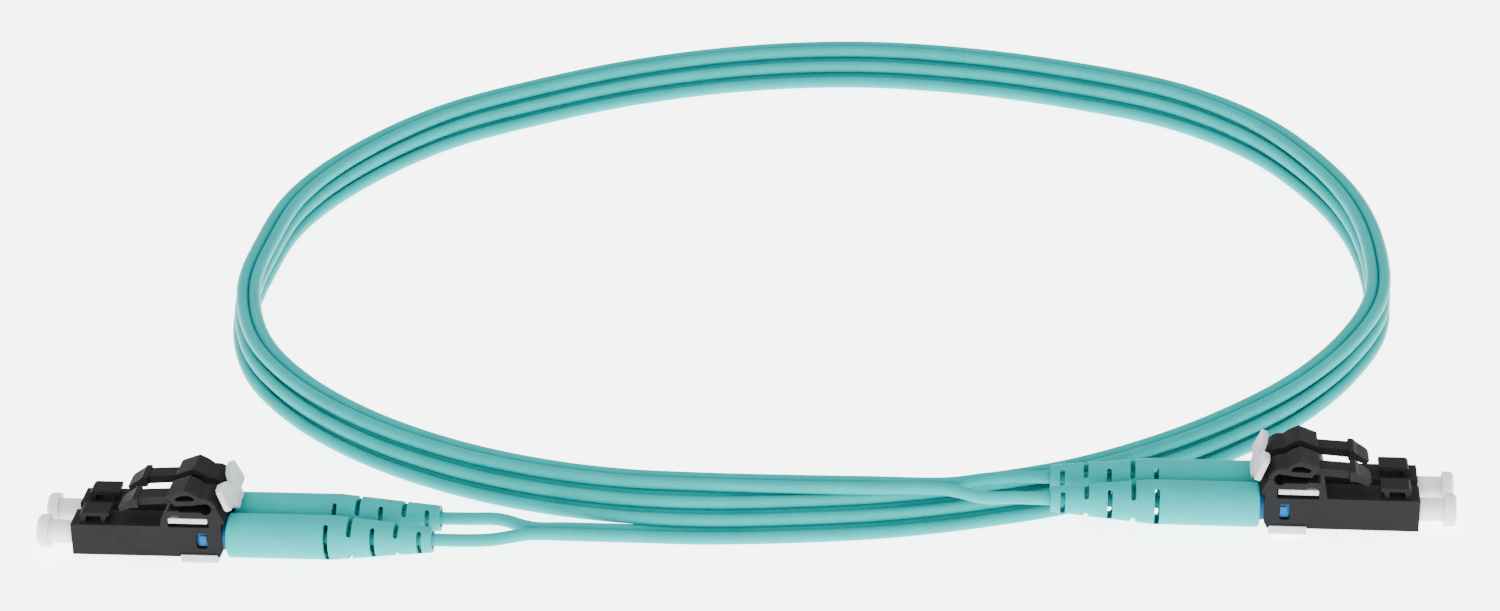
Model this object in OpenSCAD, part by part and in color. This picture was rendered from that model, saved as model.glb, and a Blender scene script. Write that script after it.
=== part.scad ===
// Duplex fiber optic patch cord: a two-channel push-pull plug on each end of a
// figure-8 zip cord that lies in a loose coil of three turns.
// Millimetres, +Z up, everything stands on z = 0, and the origin lies on that
// floor under the middle of the two plugs. Each plug channel is drawn in its own
// frame: the ferrule axis is X, x = 0 is the front face of the plug body, and x
// grows towards the cord.

/* [Plug body] */
// Width and height of one square plug body
body_w = 4.5; // [4.4:0.05:4.6]
// Length of the plug body along the ferrule
body_len = 20.6; // [20.4:0.1:21]
// Distance between the two ferrule axes of a duplex plug
channel_pitch = 6.25; // [6.2:0.05:6.4]
// Radius of the round recess in the nose
recess_r = 1.64; // [1.62:0.01:1.66]
// Depth of the round recess in the nose
recess_depth = 3; // [2.6:0.1:3.1]

/* [Latch arm] */
// Distance from the front face to the centre of the living hinge
hinge_x = 18.7; // [18.6:0.05:18.8]
// Height of the living hinge above the top of the body
hinge_h = 2.65; // [2.6:0.05:2.7]
// Radius of the round hole at the living hinge
keyhole_r = 0.82; // [0.81:0.01:0.85]
// Height of the roof-shaped thumb ridge above the top of the body
ridge_h = 5.5; // [5.3:0.1:5.7]
// Width of the flat bar of the arm
bar_w = 2.5; // [2.2:0.1:3]
// Width of the T-shaped tip of the arm
tip_w = 3.8; // [3.4:0.1:4.1]

/* [Ferrule] */
// Radius of the ceramic ferrule
ferrule_r = 0.625; // [0.62:0.0005:0.63]
// How far the ferrule stands out of the front face
ferrule_out = 1.9; // [1.7:0.1:2.1]
// Radius of the bare glass fiber
glass_r = 0.0625; // [0.06:0.0005:0.065]

/* [Dust cap] */
// Radius of the cap's barrel, a running fit in the nose recess
cap_r = 1.58; // [1.54:0.01:1.6]
// Radius of the cap's grip flange
cap_flange_r = 2.27; // [2.1:0.01:2.4]
// How far the cap stands out of the front face
cap_out = 4.9; // [4.6:0.1:5.2]

/* [Boot] */
// Radius of the straight part of the boot
boot_r = 3; // [2.9:0.01:3.05]
// Radius of the boot at the cord end
boot_end_r = 1.72; // [1.6:0.02:1.9]
// Distance from the front face to the cord end of the boot
boot_end_x = 48.9; // [48.5:0.1:50]
// Number of slot stations along the taper
slot_count = 5; // [3:1:5]
// Distance from one slot station to the next
slot_pitch = 3.12; // [2.9:0.01:3.12]
// Width of a slot along the boot
slot_w = 0.65; // [0.4:0.05:0.7]

/* [Zip cord] */
// Radius of one round leg of the zip cord
leg_r = 0.88; // [0.85:0.01:0.9]
// Distance each turn lies behind the turn below it
turn_step = 1.8; // [1.7:0.05:1.9]

/* [Hidden] */
$fn = 48;
SIDES = ["left", "right"];
ROWS = ["near", "far"];

top = body_w / 2;
half_pitch = channel_pitch / 2;
hinge_z = top + hinge_h;
slack = 0.01;                     // overshoot of a cutting tool, and the bite of a pressed ring

// Where the plugs lie: the point on the front face midway between the ferrules
left_front = [-89.8, -8, boot_r];
right_front = [89.05, 8.2, 2.55];
right_yaw = 6;
right_pitch = 3.45;

// Stations inside a plug
front_wall_x = 4.2;
passage_r = 0.75;                 // hole for the ferrule in the front wall
cavity_r = 1.7;
holder_x = [4.25, 5.75, 12.5];    // flange front, flange back, barrel end
holder_barrel_r = 0.95;
holder_flange_r = 1.45;
holder_bore_r = 0.3;
ferrule_back_x = 6.9;
spring_x = [5.8, 11.88];
leg_start_x = 26.5;
inner_x = [11.9, 13.8, 20.6, 21.15, leg_start_x]; // front, end of wide bore, collar, neck, end
crimp_x = [21.3, 26.8];
buffer_r = 0.125;
buffer_end_x = 25.6;
crimp_r = 1.62;
neck_r = 1.25;
boot_front_x = 21.2;
taper_x = 35.25;
first_slot_x = 34.8;

// Outline of the latch arm's thumb block, heights from the hinge: round behind the hinge, ridge, underside
block_profile = [
    [19.5, 0.03], [20.24, 0.03], [20.1, 0.5], [19.8, 1], [19.35, 1.35], [18.9, 1.58], [18.05, 1.6],
    [17.65, 1.9], [17.3, 2.17], [16.8, 2.47], [15.98, ridge_h - hinge_h], [13.5, 1.9],
    [14.5, 0.4], [17, 0.53], [18, 0.75]
];
// Lens-shaped hole through the thumb block, heights from the hinge
lens_profile = [
    [14.8, 1.1], [17.15, 1.2], [17.3, 1.45], [17.05, 1.8],
    [16.5, 1.97], [15.95, 2], [15.3, 1.85], [14.6, 1.5]
];
// Bar and sloping tip, heights above the top of the body
bar_profile = [[8.8, 2.6], [14.4, 3.05], [14.4, 4.05], [8.8, 3.75]];
tip_profile = [
    [9.4, 2.5], [9.4, 3.88], [8.7, 3.88], [8.25, 3.45], [6.65, 2.4], [6.5, 2.1], [7.05, 1.95], [8.5, 2.5]
];
block_w = body_w - 0.1;
tip_nose_w = 2.4;
tip_shoulder_x = 7.5;

// Closed outline of the lowest turn's centre line, seen from above
loop_points = [
    [-6, -4], [6, -3], [18.5, -1], [30.5, 2.5], [43, 7.8], [54.5, 16], [63.5, 25], [71, 35],
    [77, 47.5], [80.5, 62], [79.5, 78], [75.5, 94.5], [68.5, 109.5], [59, 123], [46.5, 133.5], [31, 140.5],
    [14, 145.5], [-3, 147.5], [-20, 145.5], [-36, 140], [-50, 132], [-63.5, 121.5], [-74, 106.5], [-80, 91],
    [-81.5, 75], [-81, 59], [-76, 42], [-67.5, 29], [-56, 17.5], [-43, 8], [-30, 1], [-18, -3]
];
turn_count = 3;
turn_h = 2 * leg_r;
zip_half_w = 2 * leg_r;
smooth_steps = 3;                 // pieces between two outline points

// Centre line of the zip cord from each plug's split to the coil
left_lead = [[-28.5, -6.4, 2.2], [-24, -5.5, 1.75], [-18, -4.6, 1.25], [-12, -4.1, 0.95]];
right_lead = [
    [-43, 12.2, 5], [-30, 5.8, 5.6], [-18, 2.35, 6.05], [-6, 1.4, 6.16],
    [6, 1.3, 6.16], [16, 1.4, 6.16], [27, 1.6, 6.15]
];
// Free points of the four round legs between boot and split
left_near_bend = [[-36.5, -11.1, 3], [-33, -10.5, 2.9], [-28.5, -7.3, 2.2]];
left_far_bend = [[-36.5, -4.8, 3], [-33, -4.6, 2.9], [-28.5, -5.5, 2.2]];
right_near_bend = [[36, -0.2, 5.65], [32, -0.9, 5.9], [27, 0.7, 6.15]];
right_far_bend = [[36, 5.8, 5.65], [32, 4.6, 5.9], [27, 2.5, 6.15]];

/* ---- placing ---- */

module at_plug(side) {
    if (side == "left") {
        translate(left_front) children();
    } else {
        translate(right_front) rotate([0, 0, right_yaw]) mirror([1, 0, 0]) rotate([0, -right_pitch, 0])
            children();
    }
}

module at_channel(side, row) {
    at_plug(side) translate([0, row_y(row), 0]) children();
}

function row_y(row) = row == "near" ? -half_pitch : half_pitch;

// Point on a channel's axis, x behind the front face, in the part's own frame
function axis_point(side, row, x) =
    side == "left"
        ? left_front + [x, row_y(row), 0]
        : right_front + turn_z([-x * cos(right_pitch), row_y(row), x * sin(right_pitch)], right_yaw);

function turn_z(p, a) = [p[0] * cos(a) - p[1] * sin(a), p[0] * sin(a) + p[1] * cos(a), p[2]];

// Straight round rod along the plug axis
module rod(x0, x1, r) {
    translate([x0, 0, 0]) rotate([0, 90, 0]) cylinder(h = x1 - x0, r = r);
}

// Round solid about the plug axis from its half outline, each point x and radius
module turned(outline) {
    rotate([0, 90, 0]) rotate_extrude() polygon([for (p = outline) [p[1], p[0]]]);
}

// A side outline, x and z, carried across the plug
module across(width) {
    rotate([90, 0, 0]) translate([0, 0, -width / 2]) linear_extrude(width) children();
}

// Side outline whose heights count from the top of the body
function from_top(profile) = [for (p = profile) [p[0], p[1] + top]];
function from_hinge(profile) = [for (p = profile) [p[0], p[1] + hinge_z]];

module rounded_slot(size_x, size_y, r) {
    union() {
        square([size_x - 2 * r, size_y], center = true);
        square([size_x, size_y - 2 * r], center = true);
        for (sx = [-1, 1], sy = [-1, 1]) {
            translate([sx * (size_x / 2 - r), sy * (size_y / 2 - r)]) circle(r);
        }
    }
}

/* ---- parts of one channel ---- */

// Bridge-shaped lug on the nose that the mating latch catches
lug_profile = [[1.2, 0], [1.2, 1.15], [1.5, 1.45], [5.2, 1.45], [5.2, 0.92], [4.85, 0.92], [4.6, 0]];
lug_gap = [[1.85, 0.02], [2.1, 0.92], [4.15, 0.92], [4, 0.02]];
lug_w = 3.1;
// Raised saddle behind the nose that carries the hinge: quarter-round front, slot floor, sloping back
saddle_front = [for (a = [0:10:90]) [13.9 - 1.55 * cos(a), 2.35 * sin(a)]];
saddle_back = [
    [15.05, 2.35], [15.05, 2.17], [18.9, 2.17], [19.5, hinge_h - 0.03], [20.24, hinge_h - 0.03],
    [20.57, 1.89], [21.03, 0.92], [21.1, 0.65], [20.95, 0.5], [20.6, 0.4], [20.6, 0]
];
rear_slope = [0.4, 0.9];          // along and up the foot of the rear face
window_center = [17.88, 0.13];
window_size = [1.5, 2.3];
window_corner = 0.45;
// Slot for the clip's plate and the notch over its front end: x from, x to, z from and z to above the top
clip_slot = [13.4, 19, -0.1, 1.3];
clip_notch = [13.65, 15.05, 1.2, 1.7];

module housing() {
    color("#484848") difference() {
        union() {
            across(body_w) polygon([
                [0, -top], [body_len - rear_slope[0], -top], [body_len, rear_slope[1] - top],
                [body_len, top], [0, top]
            ]);
            across(lug_w) polygon(from_top(lug_profile));
            across(body_w) polygon(from_top(concat(saddle_front, saddle_back)));
        }
        across(lug_w + 1) polygon(from_top(lug_gap));
        rod(-slack, recess_depth, recess_r);
        rod(recess_depth - slack, front_wall_x + slack, passage_r);
        rod(front_wall_x, body_len + 1, cavity_r);
        across(body_w + 1) translate(window_center)
            rounded_slot(window_size[0], window_size[1], window_corner);
        side_cut(clip_slot);
        side_cut(clip_notch);
        across(body_w + 1) translate([hinge_x, hinge_z]) circle(keyhole_r);
    }
}

// Square opening right through the body: x from, x to, z from and z to above the top
module side_cut(opening) {
    across(body_w + 1) translate([opening[0], opening[2] + top])
        square([opening[1] - opening[0], opening[3] - opening[2]]);
}

module latch_arm() {
    color("#454545") difference() {
        union() {
            across(block_w) polygon(from_hinge(block_profile));
            across(bar_w) polygon(from_top(bar_profile));
            latch_tip();
        }
        across(body_w + 1) polygon(from_hinge(lens_profile));
        across(body_w + 1) translate([hinge_x, hinge_z]) circle(keyhole_r);
    }
}

// T-shaped tip, narrower at its nose
module latch_tip() {
    nose_x = tip_profile[5][0];
    back_x = tip_profile[0][0];
    intersection() {
        across(tip_w) polygon(from_top(tip_profile));
        linear_extrude(3 * top) polygon([
            [nose_x - 1, -tip_nose_w / 2], [nose_x, -tip_nose_w / 2], [tip_shoulder_x, -tip_w / 2 - 1],
            [back_x + 1, -tip_w / 2 - 1], [back_x + 1, tip_w / 2 + 1], [tip_shoulder_x, tip_w / 2 + 1],
            [nose_x, tip_nose_w / 2], [nose_x - 1, tip_nose_w / 2]
        ]);
    }
}

// Snap pad in the side window: a base that fills the window and a raised face
pad_base = [17.3, 18.55, -0.8, 1.05, 1.8];   // x from, x to, z from, z to, reach sideways
pad_face = [17.6, 18.5, -0.3, 0.8, 2.08];
pad_root_y = 1.2;
wide_bore_r = 1.05;
cord_bore_r = 0.7;
collar_r = 2;

module inner_body() {
    body_r = cavity_r - 0.06;
    color("#3c82be") union() {
        turned([
            [inner_x[0], wide_bore_r], [inner_x[0], body_r], [inner_x[2], body_r], [inner_x[2], collar_r],
            [inner_x[3], collar_r], [inner_x[3], neck_r], [inner_x[4], neck_r], [inner_x[4], cord_bore_r],
            [inner_x[1], cord_bore_r], [inner_x[1], wide_bore_r]
        ]);
        for (pad = [pad_base, pad_face]) {
            snap_pad(pad, pad_root_y, pad[4]);
            snap_pad(pad, -pad[4], -pad_root_y);
        }
    }
}

module snap_pad(pad, y0, y1) {
    translate([pad[0], y0, pad[2]]) cube([pad[1] - pad[0], y1 - y0, pad[3] - pad[2]]);
}

tip_edge = [0.25, 0.15];          // chamfer of the ferrule's tip, along and across

module ferrule() {
    tip = -ferrule_out;
    bore_r = glass_r + 0.0025;
    color("#f4f2ec") turned([
        [tip, bore_r], [tip, ferrule_r - tip_edge[1]], [tip + tip_edge[0], ferrule_r],
        [ferrule_back_x, ferrule_r], [ferrule_back_x, bore_r]
    ]);
}

// Notches round the holder's flange: along the plug, deep, wide
key_notch = [1.1, 0.25, 0.4];

module ferrule_holder() {
    socket_r = ferrule_r + 0.005;
    color("#b9bcc0") difference() {
        turned([
            [holder_x[0], socket_r], [holder_x[0], holder_flange_r],
            [holder_x[1], holder_flange_r], [holder_x[1], holder_barrel_r],
            [holder_x[2], holder_barrel_r], [holder_x[2], holder_bore_r],
            [ferrule_back_x, holder_bore_r], [ferrule_back_x, socket_r]
        ]);
        for (a = [0, 90, 180, 270]) {
            rotate([a, 0, 0])
                translate([holder_x[0] - slack, holder_flange_r - key_notch[1], -key_notch[2] / 2])
                cube([key_notch[0], key_notch[1] + slack, key_notch[2]]);
        }
    }
}

spring_turns = 7;
spring_wire_r = 0.13;
spring_mean_r = 1.2;
spring_steps = 12;

function spring_path() =
    let (n = spring_turns * spring_steps, x0 = spring_x[0] + spring_wire_r, x1 = spring_x[1] - spring_wire_r)
    [for (i = [0:n]) let (a = 360 * i / spring_steps)
        [x0 + (x1 - x0) * i / n, spring_mean_r * cos(a), spring_mean_r * sin(a)]];

module spring() {
    color("#9a9da1") sweep(spring_path(), round_section(spring_wire_r, 6));
}

module optical_fiber() {
    color("#cfe8f2") turned([
        [-ferrule_out, 0], [-ferrule_out, glass_r], [ferrule_back_x, glass_r], [ferrule_back_x, buffer_r],
        [buffer_end_x, buffer_r], [buffer_end_x, 0]
    ]);
}

module crimp_sleeve() {
    color("#c9b27a") turned([
        [crimp_x[0], neck_r - slack], [crimp_x[0], crimp_r],
        [crimp_x[1], crimp_r], [crimp_x[1], neck_r - slack]
    ]);
}

// Radius of the boot's outside at x
function boot_radius(x) =
    x < taper_x ? boot_r : boot_r + (boot_end_r - boot_r) * (x - taper_x) / (boot_end_x - taper_x);

boot_edge = 0.25;
slot_reach = 0.87;                // slot length as a share of the boot's diameter there
boot_inside = [[boot_end_x, 1.22], [48.2, 1.22], [36.2, 2.3], [30, 2.3], [27.2, crimp_r - slack]];

module boot() {
    color("#83e2e1") difference() {
        turned(concat(
            [
                [boot_front_x, crimp_r - slack], [boot_front_x, boot_r - boot_edge],
                [boot_front_x + boot_edge, boot_r], [taper_x, boot_r], [boot_end_x, boot_end_r]
            ],
            boot_inside
        ));
        for (i = [0:slot_count - 1]) {
            boot_slot(first_slot_x + i * slot_pitch, i % 2 == 0 ? 0 : 90);
        }
    }
}

// One pair of slots through both walls, at x, turned about the boot's axis
module boot_slot(x, turn) {
    length = slot_reach * 2 * boot_radius(x);
    rotate([turn, 0, 0]) across(2 * boot_r + 1) translate([x, 0])
        rounded_slot(slot_w, length, slot_w / 3);
}

cap_edge = 0.35;
cap_flange_t = 1.5;
cap_bore_r = ferrule_r + 0.045;
cap_in = 2.4;                     // how deep the barrel stands in the recess
cap_bore_out = 2.7;               // how far the bore reaches out of the front face

module dust_cap() {
    color("#eef1f2") turned([
        [-cap_out, 0], [-cap_out, cap_flange_r - cap_edge], [cap_edge - cap_out, cap_flange_r],
        [cap_flange_t - cap_out, cap_flange_r], [cap_flange_t - cap_out, cap_r], [cap_in, cap_r],
        [cap_in, cap_bore_r], [-cap_bore_out, cap_bore_r], [-cap_bore_out, 0]
    ]);
}

/* ---- parts of one duplex plug ---- */

plate_top = [13.5, 18.8, 0.5, 1.2];      // x from, x to, z from and z to above the top
plate_bottom = [14.9, 19.9];
clip_drop = boot_r - top;                // the lower plate is level with the boots
web_half_w = (channel_pitch - body_w) / 2 - 0.08;
outer_y = half_pitch + body_w / 2;
plate_half_w = outer_y + 0.02;
flange_half_w = outer_y + 0.25;
flange_t = clip_drop - 0.02;
lip_t = 0.22;                            // upturned sides of the lower flange
lip_top = 0.35;                          // above the bottom of the body
stem_half_w = 0.6;                       // of the arm that carries the tab, between the two boots
stem_x = [17.8, 22.3];
riser_x = 21.5;
riser_top = 2.1;
tab_foot = [21.25, 2.3];                 // x and z above the top, where the tab's own heights are 0
tab_t = 0.75;
tab_lean = 23;
// Right half of the bow-tie, across and up the tab: foot, outer lobe, round notch
tab_half = [
    [0, -1.3], [1.6, -1.3], [2.4, -0.35], [4.6, -0.35], [4.95, 0.1], [4.6, 2.65], [4.2, 2.95],
    [2.9, 3.05], [1.4, 2.55], [0.9, 2.05], [0.65, 1.5], [0.3, 1.3], [0, 1.25]
];

module duplex_clip() {
    bottom = -top - clip_drop;
    color("#eceff0") union() {
        translate([plate_top[0], -plate_half_w, top + plate_top[2]])
            cube([plate_top[1] - plate_top[0], 2 * plate_half_w, plate_top[3] - plate_top[2]]);
        translate([plate_bottom[0], -web_half_w, bottom])
            cube([plate_top[1] - plate_bottom[0], 2 * web_half_w, top + plate_top[3] - bottom]);
        translate([plate_bottom[0], -flange_half_w, bottom])
            cube([plate_bottom[1] - plate_bottom[0], 2 * flange_half_w, flange_t]);
        for (y = [-flange_half_w, flange_half_w - lip_t]) {
            translate([plate_bottom[0], y, bottom])
                cube([plate_bottom[1] - plate_bottom[0], lip_t, clip_drop + lip_top]);
        }
        translate([stem_x[0], -stem_half_w, top + plate_top[2]])
            cube([stem_x[1] - stem_x[0], 2 * stem_half_w, plate_top[3] - plate_top[2]]);
        translate([riser_x, -stem_half_w, top + plate_top[2]])
            cube([stem_x[1] - riser_x, 2 * stem_half_w, riser_top - plate_top[2]]);
        linking_tab();
    }
}

// Bow-tie tab that stands behind both latch arms
module linking_tab() {
    left_half = [for (i = [len(tab_half) - 2:-1:1]) [-tab_half[i][0], tab_half[i][1]]];
    translate([tab_foot[0], 0, top + tab_foot[1]]) rotate([0, -tab_lean, 0])
        rotate([90, 0, 90]) linear_extrude(tab_t) polygon(concat(tab_half, left_half));
}

/* ---- cord ---- */

function unit(v) = v / norm(v);

// Tangent at point i of an open path
function tangent(path, i) =
    unit(path[min(i + 1, len(path) - 1)] - path[max(i - 1, 0)]);

function side_way(t) = unit(cross(t, abs(t[2]) > 0.9 ? [1, 0, 0] : [0, 0, 1]));

// Section points around one path point, as a ring
function ring(path, section, i) =
    let (t = tangent(path, i), s = side_way(t), u = cross(s, t))
    [for (q = section) path[i] + q[0] * s + q[1] * u];

// Closed tube of a flat section along an open path
module sweep(path, section) {
    n = len(section);
    m = len(path);
    points = [for (i = [0:m - 1]) each ring(path, section, i)];
    walls = [for (i = [0:m - 2], j = [0:n - 1], half = [0, 1])
        half == 0 ? [i * n + j, i * n + (j + 1) % n, (i + 1) * n + (j + 1) % n]
                  : [i * n + j, (i + 1) * n + (j + 1) % n, (i + 1) * n + j]];
    first_end = [for (j = [n - 1:-1:0]) j];
    last_end = [for (j = [0:n - 1]) (m - 1) * n + j];
    polyhedron(points = points, faces = concat([first_end], walls, [last_end]), convexity = 6);
}

function round_section(r, sides) =
    [for (i = [0:sides - 1]) let (a = -360 * i / sides) [r * cos(a), r * sin(a)]];

// Outside of the figure-8 cord as a flat octagon
zip_flat = [1.3, 0.4];            // half width of the octagon's top and half height of its sides
zip_section = [
    [zip_half_w, zip_flat[1]], [zip_half_w, -zip_flat[1]], [zip_flat[0], -leg_r], [-zip_flat[0], -leg_r],
    [-zip_half_w, -zip_flat[1]], [-zip_half_w, zip_flat[1]], [-zip_flat[0], leg_r], [zip_flat[0], leg_r]
];

// Point and slope of the smooth curve through four neighbours
function curve_at(a, b, c, d, t) =
    0.5 * (2 * b + (c - a) * t + (2 * a - 5 * b + 4 * c - d) * t * t + (3 * b - a - 3 * c + d) * t * t * t);

function loop_curve() =
    let (p = loop_points, n = len(p))
    [for (i = [0:n - 1], k = [0:smooth_steps - 1])
        curve_at(p[(i + n - 1) % n], p[i], p[(i + 1) % n], p[(i + 2) % n], k / smooth_steps)];

// The closed loop moved sideways by a distance, outwards when positive
function offset_loop(curve, distance) =
    let (n = len(curve))
    [for (i = [0:n - 1]) let (t = unit(curve[(i + 1) % n] - curve[(i + n - 1) % n]))
        curve[i] + distance * [t[1], -t[0]]];

module coil_turn() {
    curve = loop_curve();
    linear_extrude(turn_h) difference() {
        polygon(offset_loop(curve, zip_half_w));
        polygon(offset_loop(curve, -zip_half_w));
    }
}

module cord_coil() {
    color("#7fdedd") union() {
        for (k = [0:turn_count - 1]) {
            translate([0, k * turn_step, k * turn_h]) coil_turn();
        }
    }
}

module cord_lead_left() {
    color("#7fdedd") sweep(left_lead, zip_section);
}

module cord_lead_right() {
    color("#7fdedd") sweep(right_lead, zip_section);
}

function leg_bend(side, row) =
    side == "left" ? (row == "near" ? left_near_bend : left_far_bend)
                   : (row == "near" ? right_near_bend : right_far_bend);

module cord_leg(side, row) {
    inside_boot = [for (x = [leg_start_x, taper_x, boot_end_x + 0.6]) axis_point(side, row, x)];
    path = concat(inside_boot, leg_bend(side, row));
    color("#7fdedd") sweep(path, round_section(leg_r, 8));
}

/* ---- assembly ---- */

for (s = SIDES) {
    for (r = ROWS) {
        name = str(s, "_", r, "_");
        at_channel(s, r) housing();
        at_channel(s, r) latch_arm();
        at_channel(s, r) inner_body();
        at_channel(s, r) ferrule();
        at_channel(s, r) ferrule_holder();
        at_channel(s, r) spring();
        at_channel(s, r) optical_fiber();
        at_channel(s, r) crimp_sleeve();
        at_channel(s, r) boot();
        at_channel(s, r) dust_cap();
        cord_leg(s, r);
    }
    at_plug(s) duplex_clip();
}
cord_lead_left();
cord_coil();
cord_lead_right();
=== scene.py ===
import math

import bpy
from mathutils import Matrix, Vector


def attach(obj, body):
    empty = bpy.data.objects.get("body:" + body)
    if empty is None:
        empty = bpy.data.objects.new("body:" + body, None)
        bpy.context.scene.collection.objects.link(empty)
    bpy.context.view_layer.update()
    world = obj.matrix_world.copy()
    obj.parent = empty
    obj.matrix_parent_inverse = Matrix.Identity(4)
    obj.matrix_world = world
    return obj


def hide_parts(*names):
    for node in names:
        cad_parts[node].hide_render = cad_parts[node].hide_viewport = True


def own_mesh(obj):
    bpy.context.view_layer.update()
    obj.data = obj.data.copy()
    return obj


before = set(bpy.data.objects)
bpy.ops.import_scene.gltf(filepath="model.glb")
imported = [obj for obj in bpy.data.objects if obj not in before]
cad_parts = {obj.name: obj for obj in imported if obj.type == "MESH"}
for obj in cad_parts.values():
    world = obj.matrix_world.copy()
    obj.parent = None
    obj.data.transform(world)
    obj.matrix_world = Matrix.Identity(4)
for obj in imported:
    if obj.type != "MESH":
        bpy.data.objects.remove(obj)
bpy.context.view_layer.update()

MM = 0.001
ROOT = "cord_and_plugs"
SIDES = ("left", "right")
ROWS = ("near", "far")

# ---------------------------------------------------------------- camera

AZIMUTH = math.radians(9.0)
ELEVATION = math.radians(25.49)
ROLL = math.radians(-2.84)
CAMERA_DISTANCE = 971 * MM
CAMERA_TARGET = Vector((-9.2, 68.8, 0)) * MM
LENS_MM = 162.4


def make_camera():
    """A long lens from the front, above and to the right of the target, rolled a little."""
    forward = Vector((
        -math.sin(AZIMUTH) * math.cos(ELEVATION),
        math.cos(AZIMUTH) * math.cos(ELEVATION),
        -math.sin(ELEVATION),
    ))
    level = Vector((math.cos(AZIMUTH), math.sin(AZIMUTH), 0))
    upright = level.cross(forward)
    right = level * math.cos(ROLL) + upright * math.sin(ROLL)
    up = upright * math.cos(ROLL) - level * math.sin(ROLL)
    data = bpy.data.cameras.new("camera")
    data.sensor_width = 36
    data.lens = LENS_MM
    data.clip_start = 0.05
    data.clip_end = 20
    camera = bpy.data.objects.new("camera", data)
    bpy.context.collection.objects.link(camera)
    rows = (right, up, -forward)
    matrix = camera.matrix_world.copy()
    for column, axis in enumerate(rows):
        for row in range(3):
            matrix[row][column] = axis[row]
    matrix.translation = CAMERA_TARGET - forward * CAMERA_DISTANCE
    camera.matrix_world = matrix
    bpy.context.scene.camera = camera


make_camera()

# ---------------------------------------------------------------- the cord's route
# The same points as in the part's source, in millimetres here and in metres once built.

LEFT_FRONT = Vector((-89.8, -8, 3))
RIGHT_FRONT = Vector((89.05, 8.2, 2.55))
RIGHT_YAW = math.radians(6)
RIGHT_PITCH = math.radians(3.45)
HALF_PITCH = 3.125
LEG_R = 0.88
TURN_STEP = 1.8
TURNS = 3
JACKET_FROM_X = 26.5
BOOT_END_X = 48.9

# Centre line of the lowest turn, with how far each point has climbed towards the next turn
LOOP = [
    (-6, -4, 0), (6, -3, 0), (18.5, -1, 0), (30.5, 2.5, 0), (43, 7.8, 0), (54.5, 16, 0), (63.5, 25, 0),
    (71, 35, 0), (77, 47.5, 0), (80.5, 62, 0), (79.5, 78, 0), (75.5, 94.5, 0), (68.5, 109.5, 0),
    (59, 123, 0), (46.5, 133.5, 0), (31, 140.5, 0), (14, 145.5, 0), (-3, 147.5, 0), (-20, 145.5, 0),
    (-36, 140, 0), (-50, 132, 0), (-63.5, 121.5, 0), (-74, 106.5, 0), (-80, 91, 0), (-81.5, 75, 0),
    (-81, 59, 0), (-76, 42, 0), (-67.5, 29, 0), (-56, 17.5, 0.1), (-43, 8, 0.35), (-30, 1, 0.69),
    (-18, -3, 0.95),
]
LEFT_LEAD = [(-24, -5.5, 1.75), (-18, -4.6, 1.25), (-12, -4.1, 0.95)]
RIGHT_LEAD = [(-6, 1.4, 6.16), (6, 1.3, 6.16), (16, 1.4, 6.16)]
BENDS = {
    ("left", "near"): [(-36.5, -11.1, 3), (-33, -10.5, 2.9), (-28.5, -7.3, 2.2)],
    ("left", "far"): [(-36.5, -4.8, 3), (-33, -4.6, 2.9), (-28.5, -5.5, 2.2)],
    ("right", "near"): [(36, -0.2, 5.65), (32, -0.9, 5.9), (27, 0.7, 6.15)],
    ("right", "far"): [(36, 5.8, 5.65), (32, 4.6, 5.9), (27, 2.5, 6.15)],
}


def plug_point(side, x, y, z=0.0):
    """Point in a plug's own frame, x behind the front face, as a point of the part in mm."""
    if side == "left":
        return LEFT_FRONT + Vector((x, y, z))
    c, s = math.cos(RIGHT_PITCH), math.sin(RIGHT_PITCH)
    px, pz = -(x * c - z * s), x * s + z * c
    c, s = math.cos(RIGHT_YAW), math.sin(RIGHT_YAW)
    return RIGHT_FRONT + Vector((px * c - y * s, px * s + y * c, pz))


def row_y(row):
    return -HALF_PITCH if row == "near" else HALF_PITCH


def zip_centre_line():
    """The line midway between the two jackets, from the left split through the turns to the right split."""
    points = [Vector(p) for p in LEFT_LEAD]
    for turn in range(TURNS):
        for x, y, rise in LOOP:
            level = turn + rise
            points.append(Vector((x, y + level * TURN_STEP, LEG_R + level * 2 * LEG_R)))
    return points + [Vector(p) for p in RIGHT_LEAD]


def beside(points, distance):
    """The line moved sideways and level, to the right of its own direction when positive."""
    moved = []
    for i, p in enumerate(points):
        along = points[min(i + 1, len(points) - 1)] - points[max(i - 1, 0)]
        side = Vector((along.y, -along.x, 0)).normalized()
        moved.append(p + side * distance)
    return moved


def jacket_route(row):
    """Points of one channel's jacket, from inside the left boot to inside the right boot."""
    inside = [JACKET_FROM_X, 34, 42, BOOT_END_X - 1, BOOT_END_X + 1]
    start = [plug_point("left", x, row_y(row)) for x in inside]
    end = [plug_point("right", x, row_y(row)) for x in reversed(inside)]
    first = [Vector(p) for p in BENDS["left", row]]
    last = [Vector(p) for p in reversed(BENDS["right", row])]
    middle = beside(zip_centre_line(), LEG_R if row == "near" else -LEG_R)
    return start + first + middle + last + end


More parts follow.
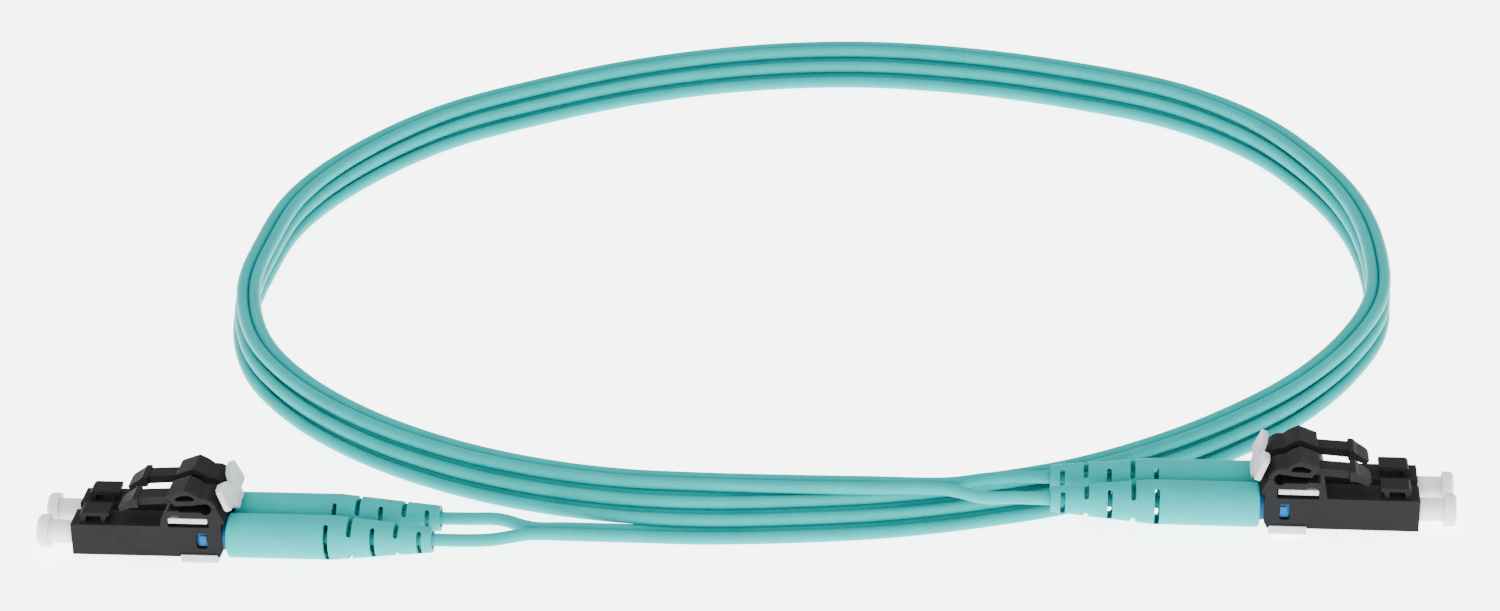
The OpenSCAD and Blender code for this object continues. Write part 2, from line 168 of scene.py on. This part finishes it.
def smooth(points, spacing):
    """Points every few tenths of a millimetre on the centripetal curve through the given ones."""
    ghost = [points[0] * 2 - points[1]] + points + [points[-1] * 2 - points[-2]]
    out = []
    for i in range(1, len(ghost) - 2):
        p = ghost[i - 1:i + 3]
        t = [0.0]
        for a, b in zip(p, p[1:]):
            t.append(t[-1] + math.sqrt((b - a).length))
        steps = max(1, round((p[2] - p[1]).length / spacing))
        for k in range(steps):
            u = t[1] + (t[2] - t[1]) * k / steps
            a1 = p[0] * ((t[1] - u) / (t[1] - t[0])) + p[1] * ((u - t[0]) / (t[1] - t[0]))
            a2 = p[1] * ((t[2] - u) / (t[2] - t[1])) + p[2] * ((u - t[1]) / (t[2] - t[1]))
            a3 = p[2] * ((t[3] - u) / (t[3] - t[2])) + p[3] * ((u - t[2]) / (t[3] - t[2]))
            b1 = a1 * ((t[2] - u) / (t[2] - t[0])) + a2 * ((u - t[0]) / (t[2] - t[0]))
            b2 = a2 * ((t[3] - u) / (t[3] - t[1])) + a3 * ((u - t[1]) / (t[3] - t[1]))
            out.append(b1 * ((t[2] - u) / (t[2] - t[1])) + b2 * ((u - t[1]) / (t[2] - t[1])))
    return out + [points[-1]]


def tube_mesh(name, route, radius):
    """Mesh of a round tube along a route, with closed ends."""
    line = bpy.data.curves.new(name, "CURVE")
    line.dimensions = "3D"
    line.bevel_depth = radius
    line.bevel_resolution = 5
    line.use_fill_caps = True
    spline = line.splines.new("POLY")
    spline.points.add(len(route) - 1)
    for point, place in zip(spline.points, route):
        point.co = (*place, 1)
    spline.use_smooth = True
    draft = bpy.data.objects.new(name, line)
    bpy.context.collection.objects.link(draft)
    solid = draft.evaluated_get(bpy.context.evaluated_depsgraph_get())
    mesh = bpy.data.meshes.new_from_object(solid)
    bpy.data.objects.remove(draft)
    bpy.data.curves.remove(line)
    return mesh


def make_jacket(row):
    """One channel's round jacket, which stands for the plain solids of its cord."""
    name = f"cord_{row}_jacket"
    route = [p * MM for p in smooth(jacket_route(row), 1.2)]
    jacket = bpy.data.objects.new(name, tube_mesh(name, route, LEG_R * MM))
    bpy.context.collection.objects.link(jacket)
    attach(jacket, ROOT)
    legs = [f"{side}_{row}_cord_leg" for side in SIDES]
    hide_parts(*legs)
    return jacket


jackets = {row: make_jacket(row) for row in ROWS}
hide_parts("cord_coil", "cord_lead_left", "cord_lead_right")

# ---------------------------------------------------------------- springs
# A copy of each packed spring, which takes the place of the hidden original. Millimetres.


def make_spring(side, row):
    channel = f"{side}_{row}"
    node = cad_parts[f"{channel}_spring"]
    spring = bpy.data.objects.new(f"{channel}_spring_coil", node.data.copy())
    bpy.context.collection.objects.link(spring)
    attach(spring, ROOT)
    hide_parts(node.name)
    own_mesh(spring)
    return spring


springs = [make_spring(side, row) for side in SIDES for row in ROWS]

# ---------------------------------------------------------------- materials


def node_tree(name):
    material = bpy.data.materials.new(name)
    material.use_nodes = True
    tree = material.node_tree
    tree.nodes.clear()
    output = tree.nodes.new("ShaderNodeOutputMaterial")
    shader = tree.nodes.new("ShaderNodeBsdfPrincipled")
    tree.links.new(shader.outputs[0], output.inputs[0])
    return material, tree, shader


def noise(tree, scale, detail):
    """Cloudy pattern fixed to the part, with scale cells to a metre."""
    where = tree.nodes.new("ShaderNodeTexCoord")
    node = tree.nodes.new("ShaderNodeTexNoise")
    node.inputs["Scale"].default_value = scale
    node.inputs["Detail"].default_value = detail
    node.inputs["Roughness"].default_value = 0.55
    tree.links.new(where.outputs["Object"], node.inputs["Vector"])
    return node.outputs["Fac"]


def ramp(tree, value, low, high):
    """The middle of a noise pattern spread from low to high."""
    node = tree.nodes.new("ShaderNodeMapRange")
    node.inputs["From Min"].default_value = 0.3
    node.inputs["From Max"].default_value = 0.7
    node.inputs["To Min"].default_value = low
    node.inputs["To Max"].default_value = high
    tree.links.new(value, node.inputs["Value"])
    return node.outputs["Result"]


def mix(tree, amount, a, b):
    """Colour a where amount is 0 and b where it is 1. Each is a colour or another node's output."""
    node = tree.nodes.new("ShaderNodeMix")
    node.data_type = "RGBA"
    tree.links.new(amount, node.inputs["Factor"])
    for socket, value in ((node.inputs["A"], a), (node.inputs["B"], b)):
        if isinstance(value, tuple):
            socket.default_value = (*value, 1)
        else:
            tree.links.new(value, socket)
    return node.outputs["Result"]


def edge_mask(tree, radius):
    """A mask, about 1 on an edge and 0 on a flat, and the surface normal with the edges rounded."""
    bevel = tree.nodes.new("ShaderNodeBevel")
    bevel.samples = 6
    bevel.inputs["Radius"].default_value = radius
    plain = tree.nodes.new("ShaderNodeNewGeometry")
    dot = tree.nodes.new("ShaderNodeVectorMath")
    dot.operation = "DOT_PRODUCT"
    tree.links.new(bevel.outputs["Normal"], dot.inputs[0])
    tree.links.new(plain.outputs["Normal"], dot.inputs[1])
    span = tree.nodes.new("ShaderNodeMapRange")
    span.inputs["From Min"].default_value = 1.0
    span.inputs["From Max"].default_value = 0.75
    span.inputs["To Min"].default_value = 0.0
    span.inputs["To Max"].default_value = 1.0
    tree.links.new(dot.outputs["Value"], span.inputs["Value"])
    return span.outputs["Result"], bevel.outputs["Normal"]


def scaled(tree, value, gain):
    """A value times a fixed number."""
    node = tree.nodes.new("ShaderNodeMath")
    node.operation = "MULTIPLY"
    node.inputs[1].default_value = gain
    tree.links.new(value, node.inputs[0])
    return node.outputs["Value"]


def moulded(name, dark, light, grain_and_edge_highlight, rough,
            edge=0.1, subsurface=0.0, metal=0.0, see_through=0.0, shine=0.06):
    """A moulded or turned finish: two-tone colour drift, fine grain, rounded edges, and a paler colour
    mixed onto the edges as a painted highlight.
    """
    material, tree, shader = node_tree(name)
    drift = noise(tree, 260, 4)
    grain = noise(tree, 9000, 2)
    painted_edge_highlight, rounded = edge_mask(tree, edge * MM)
    base = mix(tree, ramp(tree, drift, 0, 1), dark, light)
    speckle = mix(tree, ramp(tree, grain, 0.0, 0.25), base, grain_and_edge_highlight)
    # Edges are mixed towards the paler colour: a painted highlight along every edge, not real wear.
    colour = mix(tree, scaled(tree, painted_edge_highlight, 0.55), speckle, grain_and_edge_highlight)
    tree.links.new(colour, shader.inputs["Base Color"])
    tree.links.new(ramp(tree, drift, rough - 0.06, rough + 0.08), shader.inputs["Roughness"])
    relief = tree.nodes.new("ShaderNodeBump")
    relief.inputs["Strength"].default_value = 0.05
    relief.inputs["Distance"].default_value = 0.02 * MM
    tree.links.new(grain, relief.inputs["Height"])
    tree.links.new(rounded, relief.inputs["Normal"])
    tree.links.new(relief.outputs["Normal"], shader.inputs["Normal"])
    shader.inputs["Metallic"].default_value = metal
    shader.inputs["Specular IOR Level"].default_value = 0.5 if metal else shine
    shader.inputs["Subsurface Weight"].default_value = subsurface
    shader.inputs["Subsurface Radius"].default_value = (1.0, 1.0, 1.0)
    shader.inputs["Subsurface Scale"].default_value = 0.6 * MM
    shader.inputs["Transmission Weight"].default_value = see_through
    return material


def grey(value):
    """A dark plastic's grey, very slightly blue."""
    return (value, value, value * 1.04)


# The third colour of each finish serves both as its fine grain speckle and as its painted edge highlight.
HOUSING = moulded("housing_grey", grey(0.0085), grey(0.0115), grey(0.026), 0.6, shine=0.035)
LATCH = moulded("latch_grey", grey(0.0085), grey(0.0115), grey(0.026), 0.58, shine=0.035)
COLLAR = moulded("inner_blue", (0.006, 0.06, 0.16), (0.009, 0.075, 0.2), (0.03, 0.14, 0.35), 0.4)
CERAMIC = moulded("ferrule_ceramic", (0.86, 0.84, 0.8), (0.9, 0.88, 0.85), (0.95, 0.94, 0.92), 0.2)
NICKEL = moulded("holder_nickel", (0.55, 0.54, 0.5), (0.62, 0.6, 0.56), (0.75, 0.74, 0.7), 0.3, metal=1)
STEEL = moulded("spring_steel", (0.42, 0.42, 0.44), (0.5, 0.5, 0.52), (0.65, 0.65, 0.66), 0.3, metal=1)
GLASS = moulded("fiber_glass", (0.8, 0.9, 0.94), (0.85, 0.94, 0.98), (0.95, 0.98, 1), 0.1, see_through=0.6)
BRASS = moulded("crimp_brass", (0.5, 0.38, 0.16), (0.58, 0.46, 0.22), (0.75, 0.65, 0.4), 0.3, metal=1)
BOOT = moulded("boot_aqua", (0.001, 0.27, 0.265), (0.002, 0.31, 0.305), (0.01, 0.42, 0.41), 0.5,
               subsurface=0.15)
CAP = moulded("cap_white", (0.58, 0.61, 0.63), (0.66, 0.68, 0.7), (0.8, 0.81, 0.82), 0.4, subsurface=0.4)
CLIP = moulded("clip_white", (0.42, 0.44, 0.45), (0.48, 0.5, 0.51), (0.64, 0.65, 0.66), 0.42,
               subsurface=0.25)
JACKET = moulded("jacket_aqua", (0.001, 0.26, 0.255), (0.002, 0.3, 0.295), (0.01, 0.38, 0.37), 0.42,
                 edge=0.05, subsurface=0.1)
FINISHES = {
    "housing": HOUSING,
    "latch_arm": LATCH,
    "inner_body": COLLAR,
    "ferrule": CERAMIC,
    "ferrule_holder": NICKEL,
    "optical_fiber": GLASS,
    "crimp_sleeve": BRASS,
    "boot": BOOT,
    "dust_cap": CAP,
}


def paint(obj, material):
    obj.data.materials.clear()
    obj.data.materials.append(material)


for side in SIDES:
    for row in ROWS:
        for part, material in FINISHES.items():
            paint(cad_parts[f"{side}_{row}_{part}"], material)
    paint(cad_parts[f"{side}_duplex_clip"], CLIP)
for jacket in jackets.values():
    paint(jacket, JACKET)
for spring in springs:
    paint(spring, STEEL)

# ---------------------------------------------------------------- floor and light


def make_floor():
    """A pale floor that glows a little, so that it stays nearly white."""
    bpy.ops.mesh.primitive_plane_add(size=6, location=(0, 1, 0))
    floor = bpy.context.object
    floor.name = "floor"
    material, tree, shader = node_tree("floor_pale")
    tone = mix(tree, ramp(tree, noise(tree, 2, 2), 0, 1), (0.86, 0.86, 0.86), (0.88, 0.88, 0.88))
    tree.links.new(tone, shader.inputs["Base Color"])
    shader.inputs["Roughness"].default_value = 0.5
    shader.inputs["Emission Color"].default_value = (1, 1, 1, 1)
    shader.inputs["Emission Strength"].default_value = 5.0
    paint(floor, material)


def area_light(name, place, aim, size, power):
    data = bpy.data.lights.new(name, "AREA")
    data.shape = "RECTANGLE"
    data.size, data.size_y = size
    data.energy = power
    light = bpy.data.objects.new(name, data)
    light.location = place
    light.rotation_mode = "QUATERNION"
    light.rotation_quaternion = (Vector(aim) - Vector(place)).to_track_quat("-Z", "Y")
    bpy.context.collection.objects.link(light)


def make_light():
    """Even white surroundings and two large soft lamps, in front and above."""
    world = bpy.data.worlds.new("studio")
    world.use_nodes = True
    background = world.node_tree.nodes["Background"]
    background.inputs["Color"].default_value = (1, 1, 1, 1)
    background.inputs["Strength"].default_value = 1.5
    bpy.context.scene.world = world
    area_light("front_soft", (0.1, -1.1, 0.35), (0, 0.05, 0), (1.6, 0.7), 10)
    area_light("top_soft", (-0.3, 0.2, 1.3), (0, 0.05, 0), (1.2, 1.2), 6)


make_floor()
make_light()
